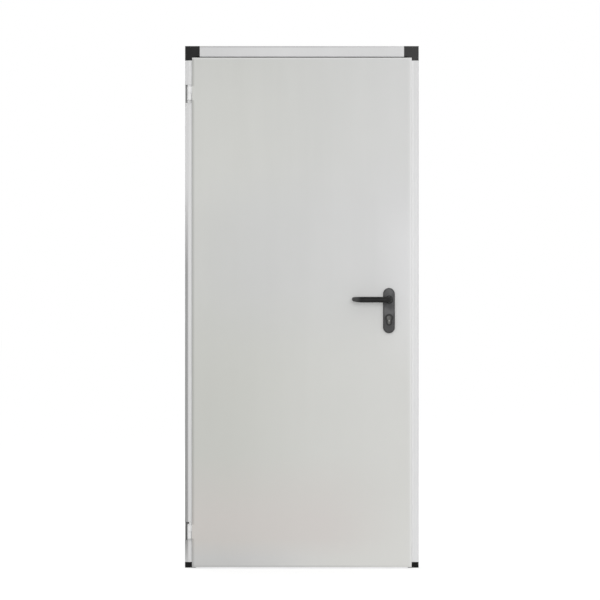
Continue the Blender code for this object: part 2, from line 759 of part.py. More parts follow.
def make_core():
    """The paper honeycomb that fills the leaf, cut out round the lock."""
    inset = SKIN + SEAT_GAP
    side = BODY_EDGE + BACK_HEM
    front = LEAF_FRONT + LEAF_WING_SETBACK + LEAF_WING_THICKNESS + SEAT_GAP
    outline = box_outline(side, front, FRAME_WIDTH - side, LEAF_BACK - inset)
    low = LEAF_BOTTOM + SKIN + EDGE_CHANNEL_HEIGHT + SEAT_GAP
    high = LEAF_TOP - SKIN - EDGE_CHANNEL_HEIGHT - SEAT_GAP
    pocket = block((LATCH_EDGE - LOCK_CASE_DEPTH - CORE_ROOM, front - CUT_ROOM,
                    LOCK_CASE_BOTTOM - CORE_ROOM),
                   (LATCH_EDGE, LEAF_BACK, LOCK_CASE_TOP + CORE_ROOM))
    piece("honeycomb_core", "leaf", prism(outline, low, high), paper, cut=[pocket])


def make_lock():
    behind = LATCH_EDGE - FACEPLATE_THICKNESS - SEAT_GAP
    half = LOCK_CASE_THICKNESS / 2
    case = block((LATCH_EDGE - LOCK_CASE_DEPTH, LOCK_V - half, LOCK_CASE_BOTTOM),
                 (behind, LOCK_V + half, LOCK_CASE_TOP))
    piece("lock_case", "leaf", case, zinc,
          cut=[*lock_openings(CUT_ROOM),
               *lock_slots(LATCH_EDGE - LATCH_LENGTH - LOCK_SLOT_CLEARANCE, LATCH_EDGE,
                           LOCK_SLOT_CLEARANCE)])
    face_half = FACEPLATE_WIDTH / 2
    face = block((LATCH_EDGE - FACEPLATE_THICKNESS, LOCK_V - face_half, FACEPLATE_BOTTOM),
                 (LATCH_EDGE, LOCK_V + face_half, FACEPLATE_TOP))
    piece("lock_faceplate", "leaf", face, zinc,
          cut=lock_slots(LATCH_EDGE - CUT_ROOM, LATCH_EDGE + CUT_ROOM, LOCK_SLOT_CLEARANCE))
    latch, bolt = lock_slots(LATCH_EDGE - LATCH_LENGTH, LATCH_EDGE - SEAT_GAP, 0)
    piece("latch_bolt", "leaf", latch, zinc)
    piece("dead_bolt", "leaf", bolt, zinc)
    piece("lock_cylinder", "leaf",
          prism(cylinder_outline(), LEAF_FRONT - PLATE_THICKNESS - CYLINDER_PROUD,
                LEAF_BACK + PLATE_THICKNESS + CYLINDER_PROUD, "v"), brass)


def two_round_ends(upper, upper_radius, lower, lower_radius):
    """The outline that wraps a circle at one height and another below it."""
    lean = math.degrees(math.asin((upper_radius - lower_radius) / (upper - lower)))
    top = arc((LEVER_U, upper), upper_radius, -lean, 180 + lean, ROUND_SIDES // 2)
    bottom = arc((LEVER_U, lower), lower_radius, 180 + lean, 360 - lean, ROUND_SIDES // 2)
    return top + bottom


def rimmed(outline_less, base, top, edge):
    """A plate between two values of v, with the rim at its top rounded. outline_less gives
    its outline, in u and z, less a margin."""
    out = math.copysign(1, top - base)
    layers = [(base, 0)]
    for step in range(RIM_STEPS + 1):
        swing = math.pi / 2 * step / RIM_STEPS
        layers.append((top - out * edge * (1 - math.sin(swing)), edge * (1 - math.cos(swing))))
    shape = bmesh.new()
    rings = []
    for v, inset in layers:
        rings.append([shape.verts.new((u, v, z)) for u, z in outline_less(inset)])
    for near, far in zip(rings, rings[1:]):
        for index in range(len(near)):
            shape.faces.new((near[index - 1], near[index], far[index], far[index - 1]))
    shape.faces.new(rings[0])
    shape.faces.new(rings[-1])
    bmesh.ops.recalc_face_normals(shape, faces=shape.faces)
    mesh = bpy.data.meshes.new("plate")
    shape.to_mesh(mesh)
    shape.free()
    return mesh


def plate_outline(inset):
    radius = PLATE_WIDTH / 2
    return two_round_ends(PLATE_TOP - radius, radius - inset, PLATE_BOTTOM + radius, radius - inset)


def collar_outline(inset):
    return two_round_ends(CYLINDER_Z, COLLAR_RADIUS - inset, CYLINDER_Z - COLLAR_DROP,
                          COLLAR_END_RADIUS - inset)


def hub_outline(inset):
    last = 360 - 360 / ROUND_SIDES
    return arc((LEVER_U, LEVER_HEIGHT), HUB_RADIUS - inset, 0, last, ROUND_SIDES - 1)


def make_backplate(name, seat, way):
    """A long plate with round ends, a hub round the lever and a collar round the cylinder.
    seat is where it lies on the leaf, and way the side that it faces."""
    face = seat + way * PLATE_THICKNESS
    middle = (seat + face) / 2
    far = PLATE_THICKNESS + CUT_ROOM
    bore = rod(LEVER_RADIUS + HUB_CLEARANCE, -far, far, (LEVER_U, seat, LEVER_HEIGHT), "v")
    piece(name, "leaf", rimmed(plate_outline, seat, face, PLATE_EDGE_RADIUS), black_plastic,
          joined=[rimmed(collar_outline, middle, face + way * COLLAR_HEIGHT, COLLAR_EDGE_RADIUS),
                  rimmed(hub_outline, middle, face + way * HUB_HEIGHT, HUB_EDGE_RADIUS)],
          cut=[bore, prism(cylinder_outline(CYLINDER_CLEARANCE), seat - far, seat + far, "v")])


def lever_line(seat, way):
    """The lever's centre line, out of the plate, along the leaf and back towards it, with
    the share of its full radius at each point. The tip is thinner and a little raised."""
    base = seat - way * LEVER_SEAT_DEPTH
    line = LEAF_FACES[way] + way * LEVER_REACH
    tip = LEAF_FACES[way] + way * LEVER_TIP_GAP
    corners = [(0, base), (0, line), (LEVER_LENGTH - LEVER_RADIUS, line),
               (LEVER_LENGTH - LEVER_RADIUS, tip)]
    path = rounded(corners, [0, LEVER_NECK_BEND, LEVER_END_BEND, 0])
    last_bend = len(path) - 2 - FOLD_STEPS
    points, shares = [], []
    for index, (along, out) in enumerate(path):
        bent = max(0, index - last_bend) / (FOLD_STEPS + 1)
        points.append((LEVER_U - along, out, LEVER_HEIGHT + LEVER_TIP_LIFT * bent))
        shares.append(1 + (LEVER_TIP_TAPER - 1) * bent)
    return points, shares


def make_lever(name, seat, way):
    half = SPINDLE_SIDE / 2 + SPINDLE_CLEARANCE
    socket_end = seat + way * (SPINDLE_REACH + SPINDLE_CLEARANCE)
    low, high = sorted((seat - way * 2 * LEVER_SEAT_DEPTH, socket_end))
    socket = prism(box_outline(LEVER_U - half, LEVER_HEIGHT - half, LEVER_U + half,
                               LEVER_HEIGHT + half), low, high, "v")
    points, shares = lever_line(seat, way)
    piece(name, "lever", tube(points, LEVER_RADIUS, shares), black_plastic, cut=[socket])


def make_spindle():
    half = SPINDLE_SIDE / 2
    outline = box_outline(LEVER_U - half, LEVER_HEIGHT - half, LEVER_U + half, LEVER_HEIGHT + half)
    piece("spindle", "lever",
          prism(outline, PLATE_FRONT - SPINDLE_REACH, PLATE_BACK + SPINDLE_REACH, "v"), zinc)


clear_scene()
parts = new_collection("steel_door")
cutters = new_collection("cutters", hidden=True)
steel_paint = new_material("light_grey_paint", (0.56, 0.56, 0.54), 0.45)
black_plastic = new_material("black_plastic", (0.03, 0.03, 0.032), 0.5)
zinc = new_material("zinc_plated_steel", (0.55, 0.56, 0.57), 0.35, 1.0)
brass = new_material("nickel_plated_brass", (0.6, 0.58, 0.5), 0.3, 1.0)
rubber = new_material("grey_rubber", (0.05, 0.05, 0.05), 0.8)
paper = new_material("paper_honeycomb", (0.4, 0.3, 0.2), 0.9)

root = bpy.data.objects.new("door_origin", None)
root.location = (-WALL_FLANGE / 2, 0, 0)
parts.objects.link(root)
bodies = {}
for body, origin in BODY_ORIGINS.items():
    bodies[body] = bpy.data.objects.new(f"{body}_body", None)
    bodies[body].parent = root
    bodies[body].location = origin
    parts.objects.link(bodies[body])
bodies["lever"].parent = bodies["leaf"]
bodies["lever"].location = BODY_ORIGINS["lever"] - BODY_ORIGINS["leaf"]

make_jambs()
make_head()
make_corner_joints()
make_foot_caps()
make_strike_plate()
make_seal()
for hinge_place, hinge_height in HINGE_HEIGHTS.items():
    make_hinge(hinge_place, hinge_height)
make_skins()
make_core()
make_edge_channels()
make_lock()
make_backplate("front_backplate", LEAF_FRONT - SEAT_GAP, -1)
make_backplate("rear_backplate", LEAF_BACK + SEAT_GAP, 1)
make_lever("front_lever", PLATE_FRONT, -1)
make_lever("rear_lever", PLATE_BACK, 1)
make_spindle()
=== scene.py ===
"""Looks of a light grey steel door in its folded frame: paints, plastics, metals, the small
fasteners, and a plain studio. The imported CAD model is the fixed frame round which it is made.
All lengths are in metres.
"""

import math

import bpy
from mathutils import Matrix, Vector


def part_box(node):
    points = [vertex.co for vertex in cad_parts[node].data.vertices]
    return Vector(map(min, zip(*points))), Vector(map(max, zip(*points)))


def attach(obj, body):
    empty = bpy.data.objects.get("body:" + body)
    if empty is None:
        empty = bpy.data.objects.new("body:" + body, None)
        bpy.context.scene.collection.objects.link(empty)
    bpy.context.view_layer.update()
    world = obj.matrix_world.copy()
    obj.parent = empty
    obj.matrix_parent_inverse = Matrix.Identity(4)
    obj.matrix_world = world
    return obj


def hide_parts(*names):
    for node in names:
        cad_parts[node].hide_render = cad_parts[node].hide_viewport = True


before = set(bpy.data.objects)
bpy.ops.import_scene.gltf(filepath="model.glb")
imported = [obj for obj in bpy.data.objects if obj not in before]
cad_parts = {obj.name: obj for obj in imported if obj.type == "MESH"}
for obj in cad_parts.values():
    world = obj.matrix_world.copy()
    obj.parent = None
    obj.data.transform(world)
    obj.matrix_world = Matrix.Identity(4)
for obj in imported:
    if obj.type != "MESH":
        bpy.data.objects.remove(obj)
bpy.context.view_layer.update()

# The camera. PIXEL_SIZE is what a pixel of the photo measures on the door.
PHOTO_PIXELS = 600
PIXEL_SIZE = 0.003952
MIDDLE_IN_PHOTO = (301.85, 306.75)
DOOR_MIDDLE = Vector((0.456, 0, 1.031))
CAMERA_DISTANCE = 6.0
CAMERA_ROLL = -0.0002
FACE_FORWARD = 0.018
SENSOR = 36.0

# The studio. A lamp is a name, a place, the point it aims at, the side of its square, a power.
WORLD_STRENGTH = 0.80
FLOOR_GREY = 0.45
FLOOR_SIDE = 60
FLOOR_DROP = 0.0005
LAMPS = [("front_softbox", (0.7, -4.6, 1.5), (0.5, 0, 1.0), 2.4, 73),
         ("rear_softbox", (-2.6, 3.4, 1.9), (0.4, 0, 1.0), 2.0, 60)]

# Places on the door, as x and z or as a height, and the y ramps that pick its front faces.
HINGE_ROWS = (0.145, 1.8725)
LEVER_AXIS = (0.799, 1.059)
CYLINDER_Z = 0.987
CYLINDER_FOOT_DROP = 0.017
PLATE_MIDDLE = 1.016
PLATE_STRAIGHT = 0.132
FRAME_FRONT = (-0.012, -0.015)
LEAF_FRONT = (-0.018, -0.022)

# The plate behind the notch of each hinge, inside the jamb, where shade is painted: ramps up
# and down, and half its height. The slot in the leaf's lip beside it reaches less far.
NOTCH_BACK_X = ((-0.0052, -0.0044), (0.0366, 0.0358))
NOTCH_BACK_Y = ((-0.0006, -0.0010), (-0.0170, -0.0166))
NOTCH_BACK_REACH = 0.050
LIP_SLOT_REACH = 0.026
HINGE_SOFTNESS = 0.004

# The lever bar. It is LEVER_LENGTH long up to the middle of its tip.
LEVER_SIDES = 36
LEVER_RADIUS = 0.0111
LEVER_LENGTH = 0.1388
LEVER_NECK_BEND = 0.020
LEVER_END_BEND = 0.025
BEND_STEPS = 10
LEVER_TIP_OUT = 0.0087
LEVER_TIP_LIFT = 0.0022
LEVER_TIP_TAPER = 0.32
TAPER_AT_BEND_END = 0.75
LEVER_TIP_ROUND = 0.0035
SOCKET_SIDE = 0.0086
SOCKET_DEPTH = 0.0283
SOCKET_SPARE = 0.002

# The screws. Edge and socket are shares of the head's rise or radius.
SCREW_SIDES = 28
SCREW_EDGE = 0.45
SCREW_SOCKET = 0.42
SCREW_SOCKET_DEPTH = 1.6
PLATE_SCREW_RADIUS = 0.0038
PLATE_SCREW_RISE = 0.0011
PLATE_SCREW_INSET = 0.014
FACEPLATE_SCREW_RADIUS = 0.0034
FACEPLATE_SCREW_RISE = 0.0006
FACEPLATE_SCREW_INSET = 0.012

# The plug in the lock cylinder. Its keyway is a slot with a notch in one wall.
PLUG_SIDES = 40
PLUG_RADIUS = 0.0062
PLUG_THICKNESS = 0.0012
PLUG_BELOW_TOP = 0.0085
PLUG_EDGE = 0.0003
KEYWAY_SHIFT = (0, 0, -0.0006)
KEYWAY_SIZE = (0.0016, 0.004, 0.0082)
KEYWAY_NOTCH_SHIFT = (0.0009, 0, 0.0006)
KEYWAY_NOTCH_SIZE = (0.0018, 0.004, 0.0016)

WHITE = (1, 1, 1, 1)


def grey(level):
    return (level,) * 3


class Value:
    """A shader socket that arithmetic can be written with, one Math node for each operator."""

    def __init__(self, finish, socket):
        self.finish = finish
        self.socket = socket

    def math(self, operation, first, second):
        made = self.finish.node("ShaderNodeMath", {"operation": operation}, {0: first, 1: second})
        return Value(self.finish, made.outputs[0])

    def __add__(self, other):
        return self.math("ADD", self, other)

    def __radd__(self, other):
        return self.math("ADD", other, self)

    def __sub__(self, other):
        return self.math("SUBTRACT", self, other)

    def __rsub__(self, other):
        return self.math("SUBTRACT", other, self)

    def __mul__(self, other):
        return self.math("MULTIPLY", self, other)

    def __rmul__(self, other):
        return self.math("MULTIPLY", other, self)

    def larger(self, other):
        return self.math("MAXIMUM", self, other)

    def size(self):
        return self.math("ABSOLUTE", self, 0.0)

    def over(self, low, high):
        """0 at low, 1 at high and a straight ramp between. low may be the larger one."""
        made = self.finish.node("ShaderNodeMapRange", {"clamp": True},
                                {"Value": self, "From Min": low, "From Max": high})
        return Value(self.finish, made.outputs["Result"])

    def between(self, rise, fall):
        """1 between two ramps, each given as the value for 0 and the value for 1."""
        return self.over(*rise) * self.over(*fall)

    def about(self, middle, far, near):
        """1 up to near away from the middle, 0 from far on."""
        return (self - middle).size().over(far, near)


class Finish:
    """A material with its nodes, read from object coordinates."""

    def __init__(self, name, constants):
        self.material = bpy.data.materials.new(name)
        self.material.use_nodes = True
        self.tree = self.material.node_tree
        self.shader = self.tree.nodes["Principled BSDF"]
        for socket, value in constants.items():
            self.shader.inputs[socket].default_value = value
        self.place = self.node("ShaderNodeTexCoord").outputs["Object"]
        parted = self.node("ShaderNodeSeparateXYZ", {}, {"Vector": self.place})
        self.x, self.y, self.z = (Value(self, parted.outputs[axis]) for axis in "XYZ")

    def node(self, kind, settings=None, sockets=None):
        """A node of that type: its settings first, then the values or links of its sockets."""
        made = self.tree.nodes.new(kind)
        for name, value in (settings or {}).items():
            setattr(made, name, value)
        for socket, value in (sockets or {}).items():
            source = value.socket if isinstance(value, Value) else value
            if isinstance(source, bpy.types.NodeSocket):
                self.tree.links.new(source, made.inputs[socket])
            else:
                made.inputs[socket].default_value = source
        return made

    def stretched(self, scale):
        return self.node("ShaderNodeMapping", {"vector_type": "POINT"},
                         {"Vector": self.place, "Scale": scale}).outputs["Vector"]

    def noise(self, scale, detail, stretch=None):
        """Cloudy values round 0.5, with that many features a metre."""
        where = self.stretched(stretch) if stretch else self.place
        made = self.node("ShaderNodeTexNoise", {"noise_dimensions": "3D"},
                         {"Vector": where, "Scale": scale, "Detail": detail})
        return Value(self, made.outputs["Fac"])

    def cells(self, scale):
        """Distances from the middles of cells, with that many cells a metre."""
        made = self.node("ShaderNodeTexVoronoi", {"feature": "F1"},
                         {"Vector": self.place, "Scale": scale})
        return Value(self, made.outputs["Distance"])

    def mix(self, share, first, second):
        """A colour between two, given as (red, green, blue) or as a socket."""
        colors = {6: first, 7: second}
        made = self.node("ShaderNodeMix", {"data_type": "RGBA"},
                         {0: share, **{socket: (*color, 1) if isinstance(color, tuple) else color
                                       for socket, color in colors.items()}})
        return made.outputs[2]

    def marked(self, coat, marks):
        """The coat with its marks and painted light, (share, colour) pairs, laid over it one
        after the other.
        """
        for share, color in marks(self):
            coat = self.mix(share, coat, color)
        return coat

    def link(self, socket, source):
        source = source.socket if isinstance(source, Value) else source
        self.tree.links.new(source, self.shader.inputs[socket])

    def bump(self, height, distance, strength):
        made = self.node("ShaderNodeBump", {}, {"Strength": strength, "Distance": distance,
                                                "Height": height})
        self.link("Normal", made.outputs["Normal"])


def near(finish, x, z, radius):
    """1 within that distance of a line that runs along y, softly 0 beyond it."""
    across, up = finish.x - x, finish.z - z
    return (across * across + up * up).over(radius ** 2 * 1.15, radius ** 2 * 0.85)


def at_hinges(z, reach):
    """1 within that height of a hinge's middle, softly 0 beyond it."""
    lower, upper = (z.about(row, reach + HINGE_SOFTNESS, reach) for row in HINGE_ROWS)
    return lower.larger(upper)


def frame_painted_light(finish):
    """Painted light and shade on the frame's coat: where it is lighter or darker than its middle
    tone because of how light falls.
    """
    x, y, z = finish.x, finish.y, finish.z
    front = y.over(*FRAME_FRONT)
    below_head = z.over(2.02, 2.01)
    # Painted light on the jamb strip beside the leaf, where the leaf's lip casts shade.
    lit_beside_leaf = front * x.between((0.006, 0.016), (0.2, 0.1)) * below_head
    # Painted shade on the frame's outer rim and top rim, and a darker head at the left.
    shaded_outer_rim = front * x.over(0.0078, 0.0038) * z.between((0.0, 0.10), (1.52, 1.18))
    shaded_head_left = front * x.over(0.35, 0.10) * z.over(2.00, 2.01)
    shaded_top_rim = front * z.over(2.052, 2.059) * x.over(0.95, 0.45)
    # Painted light down the latch jamb, stronger low down where the lamp light falls off, and in
    # the gap beside the leaf's edge.
    latch_side = x.over(0.84, 0.87) * (0.3 + 0.2 * z.over(1.9, 1.3) + 0.4 * z.over(0.5, 0.0))
    lit_latch_gap = front * x.between((0.86, 0.87), (0.899, 0.894)) * below_head
    # Painted shade inside the hinge notches, deeper at the lower hinge.
    notch_back = (x.between(*NOTCH_BACK_X) * y.between(*NOTCH_BACK_Y)
                  * at_hinges(z, NOTCH_BACK_REACH))
    lower_notch_back = notch_back * z.over(1.2, 0.8)
    return [(lit_beside_leaf * 0.8, grey(0.86)), (shaded_outer_rim * 0.62, grey(0.10)),
            (shaded_head_left * 0.45, grey(0.58)), (shaded_top_rim * 0.35, grey(0.25)),
            (latch_side, (0.84, 0.84, 0.845)), (lit_latch_gap * 0.8, grey(0.92)),
            (notch_back, grey(0.30)), (lower_notch_back, grey(0.16))]


def leaf_painted_light(finish):
    """Painted light and shade in soft zones over the leaf's coat, and then painted highlights and
    shade along its edges.
    """
    x, y, z = finish.x, finish.y, finish.z
    front = y.over(*LEAF_FRONT)
    # Painted light to the right, high up at the left, low down and beside the handle; painted
    # shade in the middle left and below the middle. Some of the zones are tinted.
    right_side = x.over(0.20, 0.90)
    left_side = x.over(0.50, 0.08)
    high = left_side * z.between((1.20, 1.45), (2.01, 1.85))
    soft_left = x.about(0.24, 0.28, 0.10) * z.about(1.14, 0.42, 0.20)
    dull = z.over(1.15, 0.75)
    neutral = z.about(1.25, 0.40, 0.16) * x.over(0.0, 0.25)
    low = z.over(0.70, 0.0) * (0.25 + 0.75 * right_side)
    lowest = z.over(0.30, 0.05) * x.over(0.15, 0.50)
    warm = front * z.between((0.02, 0.12), (0.45, 0.20)) * x.over(0.85, 0.55)
    bottom_left = z.over(0.11, 0.04) * x.over(0.60, 0.25)
    by_handle = x.over(0.74, 0.90) * z.about(1.15, 0.40, 0.15)
    # Painted highlights on the right, lock and top edges; painted shade along the bottom and left
    # edges.
    right_edge = front * x.over(0.870, 0.886)
    lock_edge = front * x.over(0.880, 0.888)
    bottom_edge = front * z.over(0.014, 0.009) * x.over(1.0, 0.60)
    left_edge = front * x.over(0.034, 0.027) * (1.0 - at_hinges(z, LIP_SLOT_REACH))
    top_edge = front * z.over(2.004, 2.0095)
    return [(right_side * 0.45, (0.72, 0.72, 0.735)), (high * 0.25, (0.68, 0.685, 0.65)),
            (soft_left * 0.36, (0.54, 0.545, 0.53)), (dull * 0.4, (0.595, 0.60, 0.555)),
            (neutral * 0.2, (0.60, 0.60, 0.63)), (dull * left_side * 0.3, (0.51, 0.515, 0.48)),
            (dull * right_side * 0.35, (0.72, 0.72, 0.70)), (low * 0.6, (0.74, 0.735, 0.70)),
            (lowest * 0.3, (0.80, 0.80, 0.78)), (warm * 0.5, (0.65, 0.595, 0.575)),
            (bottom_left * 0.3, (0.60, 0.595, 0.64)), (by_handle * 0.55, (0.76, 0.76, 0.765)),
            (right_edge * 0.3, grey(0.78)), (lock_edge * 0.45, grey(0.90)),
            (bottom_edge * 0.35, (0.40, 0.40, 0.395)), (left_edge * 0.28, grey(0.05)),
            (top_edge * 0.4, grey(0.76))]


def corner_painted_light(finish):
    """Painted light on the corner joint at the latch side, which is lighter where more light
    falls.
    """
    # Painted light: the latch side is made lighter.
    latch_side = finish.x.over(0.6, 0.9)
    return [(latch_side * 0.9, grey(0.045))]


def foot_marks(finish):
    """Pale scuffs low down."""
    scuffed = finish.z.over(0.004, 0.0)
    return [(scuffed * 0.4, grey(0.03))]


def lever_painted_highlight(finish):
    """A painted highlight makes the tip pale, on the bend that faces the light; the neck stays
    dark.
    """
    highlit_tip = finish.x.over(0.686, 0.670)
    return [(highlit_tip * 0.9, grey(0.060))]


def plate_painted_shade(finish):
    """Painted shade in dark rims round the plate, the hub and the collar, and a darker lower end.
    """
    x, z = finish.x, finish.z
    ends = ((z - PLATE_MIDDLE).size() - PLATE_STRAIGHT / 2).larger(0.0)
    across = x - LEVER_AXIS[0]
    rim = (across * across + ends * ends).over(0.0175 ** 2, 0.022 ** 2)
    lower = z.over(1.0, 0.96)
    # Painted shade round the hub, where the lever's shadow falls, and round the collar of the
    # lock cylinder.
    hub = near(finish, *LEVER_AXIS, 0.0165)
    collar = near(finish, LEVER_AXIS[0], CYLINDER_Z, 0.0160)
    collar_foot = near(finish, LEVER_AXIS[0], CYLINDER_Z - CYLINDER_FOOT_DROP, 0.0125)
    return [(lower * 0.7, (0.035, 0.035, 0.036)), (rim * 0.75, grey(0.012)),
            (hub.larger(collar.larger(collar_foot)) * 0.9, grey(0.010))]


def cylinder_painted_highlight(finish):
    """A painted highlight: a bright spot low on the end of the lock cylinder."""
    highlight_spot = near(finish, LEVER_AXIS[0] + 0.001, CYLINDER_Z - 0.0105, 0.0026)
    return [(highlight_spot * 0.9, (0.17, 0.17, 0.165))]


def no_marks(finish):
    return []


def powder_paint(name, light, shade, marks):
    """A satin powder coat: faint clouds and streaks, its painted light and shade, fine specks and
    orange peel.
    """
    finish = Finish(name, {"IOR": 1.5, "Specular IOR Level": 0.35})
    clouds = finish.noise(scale=1.3, detail=3.0)
    streaks = finish.noise(scale=3.0, detail=2.0, stretch=(6.0, 6.0, 0.5))
    coat = finish.mix((clouds * 0.6 + streaks * 0.4).over(0.35, 0.65), light, shade)
    coat = finish.marked(coat, marks)
    specks = finish.cells(scale=260.0).over(0.10, 0.04)
    coat = finish.mix(specks * 0.05, coat, (0.30, 0.30, 0.29))
    finish.link("Base Color", coat)
    finish.link("Roughness", 0.40 + 0.12 * finish.noise(scale=9.0, detail=3.0))
    grain = finish.noise(scale=420.0, detail=2.0)
    waves = finish.noise(scale=60.0, detail=1.0)
    finish.bump(grain + 0.6 * waves, distance=0.00012, strength=0.35)
    return finish.material


def moulded_plastic(name, dark, light, rough, grain, gloss, marks):
    """Moulded plastic with a fine spark-eroded grain, and its marks and painted light."""
    finish = Finish(name, {"IOR": 1.48, "Specular IOR Level": gloss})
    patches = finish.noise(scale=22.0, detail=4.0).over(0.42, 0.66)
    finish.link("Base Color", finish.marked(finish.mix(patches, dark, light), marks))
    finish.link("Roughness", rough + 0.14 * finish.noise(scale=35.0, detail=3.0))
    finish.bump(finish.noise(scale=grain, detail=2.0), distance=0.0001, strength=0.4)
    return finish.material


def brushed_metal(name, bright, dull, rough, direction, marks=no_marks):
    """Plated metal with fine brushing along one direction, dull patches, and its marks and
    painted light.
    """
    finish = Finish(name, {"Metallic": 1.0})
    brushing = finish.noise(scale=60.0, detail=3.0, stretch=direction)
    patches = finish.noise(scale=14.0, detail=3.0).over(0.40, 0.65)
    finish.link("Base Color", finish.marked(finish.mix(patches, bright, dull), marks))
    finish.link("Roughness", rough + 0.16 * brushing + 0.06 * patches)
    finish.bump(brushing, distance=0.00006, strength=0.35)
    return finish.material


def seal_rubber(name):
    """Dull black rubber with dust on it."""
    finish = Finish(name, {"IOR": 1.5})
    dust = finish.noise(scale=40.0, detail=4.0).over(0.5, 0.75)
    finish.link("Base Color", finish.mix(dust, grey(0.018), (0.06, 0.06, 0.058)))
    finish.link("Roughness", 0.70 + 0.15 * dust)
    finish.bump(finish.noise(scale=300.0, detail=2.0), distance=0.0001, strength=0.4)
    return finish.material


def honeycomb_paper(name):
    """Brown paper in small cells."""
    finish = Finish(name, {})
    cells = finish.cells(scale=110.0)
    finish.link("Base Color",
                finish.mix(cells.over(0.2, 0.6), (0.42, 0.31, 0.20), (0.27, 0.19, 0.12)))
    finish.link("Roughness", 0.85 + 0.1 * finish.noise(scale=90.0, detail=2.0))
    finish.bump(cells, distance=0.002, strength=0.8)
    return finish.material


FRAME_PAINT = powder_paint("frame_paint", light=(0.70, 0.70, 0.705), shade=grey(0.67),
                           marks=frame_painted_light)
HINGE_PAINT = powder_paint("hinge_paint", light=grey(0.82), shade=grey(0.79), marks=frame_painted_light)
LEAF_PAINT = powder_paint("leaf_paint", light=(0.60, 0.605, 0.58), shade=(0.575, 0.58, 0.555),
                          marks=leaf_painted_light)
CORNER_PLASTIC = moulded_plastic("corner_plastic", dark=grey(0.006), light=grey(0.012),
                                 rough=0.55, grain=700.0, gloss=0.22, marks=corner_painted_light)
FOOT_PLASTIC = moulded_plastic("foot_plastic", dark=grey(0.004), light=grey(0.008),
                               rough=0.60, grain=700.0, gloss=0.15, marks=foot_marks)
LEVER_PLASTIC = moulded_plastic("lever_plastic", dark=grey(0.006), light=grey(0.012),
                                rough=0.45, grain=900.0, gloss=0.20, marks=lever_painted_highlight)
PLATE_PLASTIC = moulded_plastic("plate_plastic", dark=(0.052, 0.052, 0.054),
                                light=(0.112, 0.112, 0.114), rough=0.50, grain=900.0,
                                gloss=0.35, marks=plate_painted_shade)
ZINC = brushed_metal("zinc_plate", bright=(0.62, 0.63, 0.64), dull=(0.48, 0.49, 0.50),
                     rough=0.28, direction=(1.0, 1.0, 12.0))
# The nickel is painted almost black, as painted shade for the lock cylinder sunk in its collar.
NICKEL_WITH_PAINTED_SHADE = brushed_metal("nickel_with_painted_shade", bright=(0.085, 0.085, 0.082), dull=(0.05, 0.05, 0.048),
                       rough=0.35, direction=(12.0, 1.0, 12.0), marks=cylinder_painted_highlight)
SCREW_STEEL = brushed_metal("screw_steel", bright=(0.58, 0.58, 0.59), dull=(0.42, 0.42, 0.43),
                            rough=0.30, direction=(8.0, 8.0, 8.0))
RUBBER = seal_rubber("seal_rubber")
PAPER = honeycomb_paper("honeycomb_paper")

NODE_FINISHES = {
    FRAME_PAINT: ["hinge_jamb", "latch_jamb", "head_profile"],
    HINGE_PAINT: ["upper_hinge_frame_wing", "lower_hinge_frame_wing", "upper_hinge_leaf_wing",
                  "lower_hinge_leaf_wing", "upper_hinge_pin", "lower_hinge_pin"],
    LEAF_PAINT: ["front_skin", "back_skin"],
    CORNER_PLASTIC: ["corner_joint_hinge_side", "corner_joint_latch_side"],
    FOOT_PLASTIC: ["foot_cap_hinge_side", "foot_cap_latch_side"],
    LEVER_PLASTIC: ["front_lever", "rear_lever"],
    PLATE_PLASTIC: ["front_backplate", "rear_backplate"],
    ZINC: ["strike_plate", "top_edge_channel", "bottom_edge_channel", "lock_case",
           "lock_faceplate", "latch_bolt", "dead_bolt", "spindle"],
    NICKEL_WITH_PAINTED_SHADE: ["lock_cylinder"],
    RUBBER: ["door_seal"],
    PAPER: ["honeycomb_core"],
}


def wear(mesh, finish):
    """Gives the mesh that finish and no other."""
    mesh.materials.clear()
    mesh.materials.append(finish)


def dress_nodes():
    for finish, names in NODE_FINISHES.items():
        for name in names:
            wear(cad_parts[name].data, finish)


def deselect():
    bpy.ops.object.select_all(action="DESELECT")


def select_only(piece):
    deselect()
    piece.select_set(True)
    bpy.context.view_layer.objects.active = piece


def settle(piece, name, finish, body):
    """Names the finished piece, puts its place into its mesh and lets it ride."""
    select_only(piece)
    bpy.ops.object.transform_apply(location=True, rotation=True, scale=True)
    bpy.ops.object.shade_smooth_by_angle(angle=math.radians(35))
    piece.name = name
    piece.data.name = name
    wear(piece.data, finish)
    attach(piece, body)


def round_edges(piece, width, segments, sharper_than=30):
    """Bevels the edges that turn by more than that many degrees. Not applied yet."""
    edge = piece.modifiers.new("edge", "BEVEL")
    edge.width = width
    edge.segments = segments
    edge.limit_method = "ANGLE"
    edge.angle_limit = math.radians(sharper_than)


def cut_away(piece, cutters):
    """Applies the piece's modifiers, cuts the cutters out of it and deletes them."""
    for number, cutter in enumerate(cutters):
        cut = piece.modifiers.new(f"cut_{number}", "BOOLEAN")
        cut.operation = "DIFFERENCE"
        cut.object = cutter
    select_only(piece)
    for modifier in list(piece.modifiers):
        bpy.ops.object.modifier_apply(modifier=modifier.name)
    for cutter in cutters:
        bpy.data.objects.remove(cutter, do_unlink=True)


def cylinder(sides, radius, depth, place, turn):
    deselect()
    bpy.ops.mesh.primitive_cylinder_add(vertices=sides, radius=radius, depth=depth,
                                        location=place, rotation=turn)
    return bpy.context.object


def block(place, size):
    deselect()
    bpy.ops.mesh.primitive_cube_add(size=1, location=place, scale=size)
    return bpy.context.object


ALONG_X = (0, math.pi / 2, 0)
ALONG_Y = (math.pi / 2, 0, 0)


